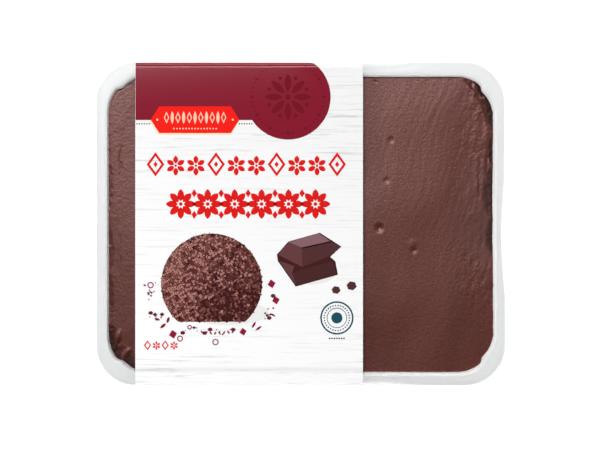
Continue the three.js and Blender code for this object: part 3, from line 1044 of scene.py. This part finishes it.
def crumbs(tone_meshes, draw):
    """Small uneven crumbs over the dome, each given one of the browns: paler to the left, darkest low
    in the middle, and in soft patches."""
    cells = bmesh.new()
    half = DOME_RADIUS * 1.44  # covers the dome when it is turned
    count = math.ceil(2 * half / CRUMB)
    bmesh.ops.create_grid(cells, x_segments=count, y_segments=count, size=half)
    turn = Matrix.Rotation(CRUMB_TURN, 3, "Z")
    for vert in cells.verts:
        astray = Vector((draw.uniform(-1, 1), draw.uniform(-1, 1), 0)) * CRUMB_STRAY
        vert.co = turn @ (vert.co + astray) + Vector((*DOME, 0))
    for face in cells.faces:
        middle = face.calc_center_median()
        across, up = (middle.x - DOME[0]) / DOME_RADIUS, (middle.y - DOME[1]) / DOME_RADIUS
        dark_heart = 0.3 * math.exp(-((across - 0.15) ** 2 + (up + 0.45) ** 2) / 0.12)
        patch = 0.3 * soft_noise(middle.x, middle.y, 3.2 * MM, seed=7)
        light = 0.6 - 0.22 * across + 0.1 * up
        tone = light - dark_heart + patch + draw.uniform(-0.42, 0.42)
        inside = math.hypot(across, up) < 1 and middle.y > DOME[1] - DOME_FOOT
        if inside and tone > 0:
            corners = []
            for here, after in zip(face.verts, [*face.verts[1:], face.verts[0]]):
                for share in (0.3, 0.7):
                    corners.append(middle.xy.lerp(here.co.xy.lerp(after.co.xy, share), CRUMB_FILL))
            field(tone_meshes[min(int(tone * 4), 3)], corners)
    cells.free()


PLUMS = {
    "plum_grey": "#7b5a5f",
    "plum_brown": "#5d383b",
    "deep_plum_brown": "#4c2c2d",
    "darkest_plum": "#432526",
    "palest_plum": "#96767b",
}
BAR_OUTLINE = [(-5.46, -8.2), (9.2, -4.1), (19.2, -10.5), (14, -15.3), (16.4, -17.4), (17.6, -23.6)]
BAR_OUTLINE += [(-2, -29.1), (-10.3, -17.2), (-10.7, -14.2)]
BAR_FACES = [  # in millimetres
    ("plum_grey", [(-5.46, -8.41), (0.9, -10.92), (14.01, -8.03), (8.81, -4.44)]),
    ("plum_brown", [(-5.46, -8.41), (-10.28, -14.2), (1.09, -19.98), (0.9, -10.92)]),
    (
        "deep_plum_brown",
        [(0.9, -10.92), (1.09, -19.98), (13.63, -14.97), (18.83, -10.65), (14.01, -8.03)],
    ),
    ("plum_brown", [(-9.71, -17.09), (-1.8, -28.66), (-3.73, -22.87), (-2.6, -19.6)]),
    ("darkest_plum", [(-3.73, -22.87), (-1.8, -28.66), (16.9, -23.45), (15.17, -17.28), (1.5, -20.9)]),
    ("palest_plum", [(0.9, -10.92), (0.75, -11.5), (14.3, -8.55), (14.01, -8.03)]),
]


def bar():
    """Two thick rhombs, each with three plain faces and paler edges, and two crumbs beside them."""
    meshes = {name: bmesh.new() for name in PLUMS}
    for name, corners in BAR_FACES:
        field(meshes[name], [mm(*corner) for corner in corners])
    for x, way, radius in ((16.7, -30.65, 2.1), (23.95, -28.7, 2.4)):
        spot(meshes["deep_plum_brown"], *mm(x, way, radius), sides=6, stretch=0.9, turn=20)
    for name, bm in meshes.items():
        printed(name + "_faces", bm, name, PLUMS[name], 4)


# In millimetres: place, then length and turn, or radius
MOTIF_LEAVES = [(-63.5, -47.3, 3.4, 40), (-61.2, -44.6, 3.2, 70), (-66.2, -44.2, 2.8, -20)]
MOTIF_SLIM_LEAVES = [(-21.4, -46.8, 3.6, 60), (-19.2, -48.4, 3.6, 35), (-12.6, -42.2, 3, -30)]
MOTIF_RINGS = [(-69.3, -28.4, 1.5), (-55.6, -53.2, 1.4), (-51.2, -47.9, 1.1), (-39.2, -54.8, 1.5)]
MOTIF_LOZENGES = [(-58.9, -51.2, 1.9), (-26.4, -50, 1.7), (-13.2, -27.8, 1.9), (-11.2, -35.4, 1.8)]


def motifs():
    """Dots, rings, leaves and lozenges in crimson, strewn in an arc under the dome's foot."""
    bm = bmesh.new()
    leaves = MOTIF_LEAVES[:]
    for k in range(8):
        leaves.append((-45.5 + 2.05 * k, -50.2 - 0.5 * math.sin(0.5 * k), 1.9, 55 if k % 2 else -55))
    for x, way, length, turn in leaves:
        leaf(bm, *mm(x, way, length, 0.42 * length), turn)
    for x, way, radius in MOTIF_RINGS:
        hollow_spot(bm, *mm(x, way, radius, 0.5), sides=16)
    for x, way, radius in MOTIF_LOZENGES:
        spot(bm, *mm(x, way, radius), sides=4, stretch=1.1, turn=12)
    for x, way, length, turn in MOTIF_SLIM_LEAVES:
        leaf(bm, *mm(x, way, length, 0.3 * length), turn)
    printed("crimson_motifs", bm, "crimson", "#851a35", 3)


CHIP_GROUPS = [  # in millimetres: middle, half width and half height, and its share of the chips
    (-69.5, -30.5, 2.6, 5.5, 0.26),
    (-66.5, -43.5, 4, 2.6, 0.22),
    (-42, -49.6, 15, 1.7, 0.3),
    (-14.5, -37.5, 2.8, 6.5, 0.22),
]
CHIP_SIZES = (0.35, 0.45, 0.6, 0.85, 1.2)


def chips(bm, draw, count):
    """Dots and chips in loose groups round the dome's foot."""
    for x, way, wide, high, share in CHIP_GROUPS:
        for _ in range(round(count * share)):
            across, up = draw.gauss(0, 0.55), draw.gauss(0, 0.55)
            place = (x + wide * clamp(across, -1, 1), way + high * clamp(up, -1, 1))
            size = draw.choice(CHIP_SIZES)
            sides = draw.choice((4, 5, 6, 7))
            spot(bm, *mm(*place, size), sides, stretch=0.8, turn=draw.uniform(0, 90))


def dessert_shapes():
    """A dome of crumbs, two rhombs and scattered chips in browns, over pale grey shade."""
    draw = random.Random(7)
    for layer, (name, colour, spread) in enumerate(SHADES, 1):
        shade = bmesh.new()
        foot = DOME[1] - DOME_FOOT
        spot(shade, DOME[0] + 7.5 * MM, foot + 4.2 * MM, 19 * MM + spread, sides=40, stretch=0.3)
        spot(shade, *mm(5.5, -21.8), 11.6 * MM + spread, sides=32, stretch=0.55)
        printed(name + "_shade", shade, name, colour, layer)
    base = bmesh.new()
    lean = math.asin(DOME_FOOT / DOME_RADIUS)
    field(base, arc(DOME, DOME_RADIUS, -lean, math.pi + lean, 56))
    field(base, [mm(*corner) for corner in BAR_OUTLINE])
    printed("dome_ground", base, "umber_ground", "#3f1d1d", 3)
    tone_meshes = [bmesh.new() for _ in BROWNS]
    crumbs(tone_meshes, draw)
    chips(tone_meshes[1], draw, 16)
    red_chips = bmesh.new()
    chips(red_chips, draw, 22)
    printed("dark_red_chips", red_chips, "dark_red", "#6e1a2c", 3)
    for bm, (name, colour) in zip(tone_meshes, BROWNS):
        printed(name + "_shapes", bm, name, colour, 4)
    bar()
    motifs()


def seal():
    """A small round ornament in dark teal, with a row of dots under it."""
    bm = bmesh.new()
    x, way = mm(17.1, -43.6)
    hollow_spot(bm, x, way, 7.72 * MM, 0.75 * MM, sides=48)
    hollow_spot(bm, x, way, 4.7 * MM, 0.3 * MM, sides=40)
    spot(bm, x, way, 2.6 * MM)
    for k in range(30):
        spot(bm, *round_about(x, way, 5.85 * MM, 12 * k), 0.36 * MM, sides=8)
    for k in range(7):
        spot(bm, x + 1.1 * MM * (k - 3), way - 9.5 * MM, 0.42 * MM, sides=8)
    printed("teal_seal", bm, "dark_teal", "#1d4a57", 1)


# ---- stage

TABLE_GAP = 0.02 * MM  # between the pack and the tabletop, so that their faces never mix


def floor():
    """A pale matte tabletop of faintly glowing acrylic, as under a product lit from all round."""
    material, _, _ = new_material(
        "pale_acrylic_tabletop",
        Base_Color=linear("#f2f2f2"),
        Roughness=0.9,
        Emission_Color=linear("#ffffff"),
        Emission_Strength=0.5,
    )
    bm = bmesh.new()
    bmesh.ops.create_grid(bm, x_segments=1, y_segments=1, size=3)
    bmesh.ops.translate(bm, verts=bm.verts, vec=(0, 0, -TABLE_GAP))
    placed_mesh("tabletop", bm, material)


def softbox(name, place, width, height, watts):
    """A rectangular light that faces the pack."""
    lamp = bpy.data.lights.new(name, "AREA")
    lamp.shape = "RECTANGLE"
    lamp.size = width
    lamp.size_y = height
    lamp.energy = watts
    light = bpy.data.objects.new(name, lamp)
    light.location = place
    light.rotation_euler = (-Vector(place)).to_track_quat("-Z", "Y").to_euler()
    bpy.context.scene.collection.objects.link(light)


def studio():
    """Soft light from a key above the back edge, and from low boxes on every side."""
    world = bpy.data.worlds.new("studio")
    world.use_nodes = True
    background = world.node_tree.nodes["Background"]
    background.inputs["Color"].default_value = linear("#ffffff")
    background.inputs["Strength"].default_value = 0.02
    bpy.context.scene.world = world
    softbox("key", (-0.098, 0.362, 0.977), 0.42, 0.21, 7.6)
    softbox("back", (0, 1.8, 0.7), 1.1, 1.1, 14)
    softbox("near_left", (-0.5, 0, 0.35), 0.3, 0.3, 0.85)
    softbox("near_right", (0.5, 0, 0.35), 0.3, 0.3, 0.15)
    softbox("low_left", (-0.9, 0, 0.2), 0.5, 0.16, 5)
    softbox("low_right", (0.9, 0, 0.12), 0.5, 0.16, 9)
    softbox("low_front", (0, -0.9, 0.12), 0.5, 0.16, 6.5)
    softbox("low_back", (0, 0.9, 0.12), 0.5, 0.16, 2)
    bpy.context.scene.view_settings.view_transform = "Standard"


VIEW_WIDTH = 278.4 * MM  # of the picture, at the height of the rim's top
VIEW_CENTRE = Vector(mm(0, -0.52, 0))
CAMERA_DISTANCE = 1.25


def camera():
    """A long lens straight above the pack."""
    data = bpy.data.cameras.new("camera")
    data.sensor_width = 36
    data.lens = data.sensor_width * CAMERA_DISTANCE / VIEW_WIDTH
    made = bpy.data.objects.new("camera", data)
    made.location = VIEW_CENTRE + Vector((0, 0, rim_top + CAMERA_DISTANCE))
    bpy.context.scene.collection.objects.link(made)
    bpy.context.scene.camera = made


tray()
mousse()
sleeve_board()
band()
rosette()
badge()
frieze()
dotted_line()
dessert_shapes()
seal()
floor()
studio()
camera()
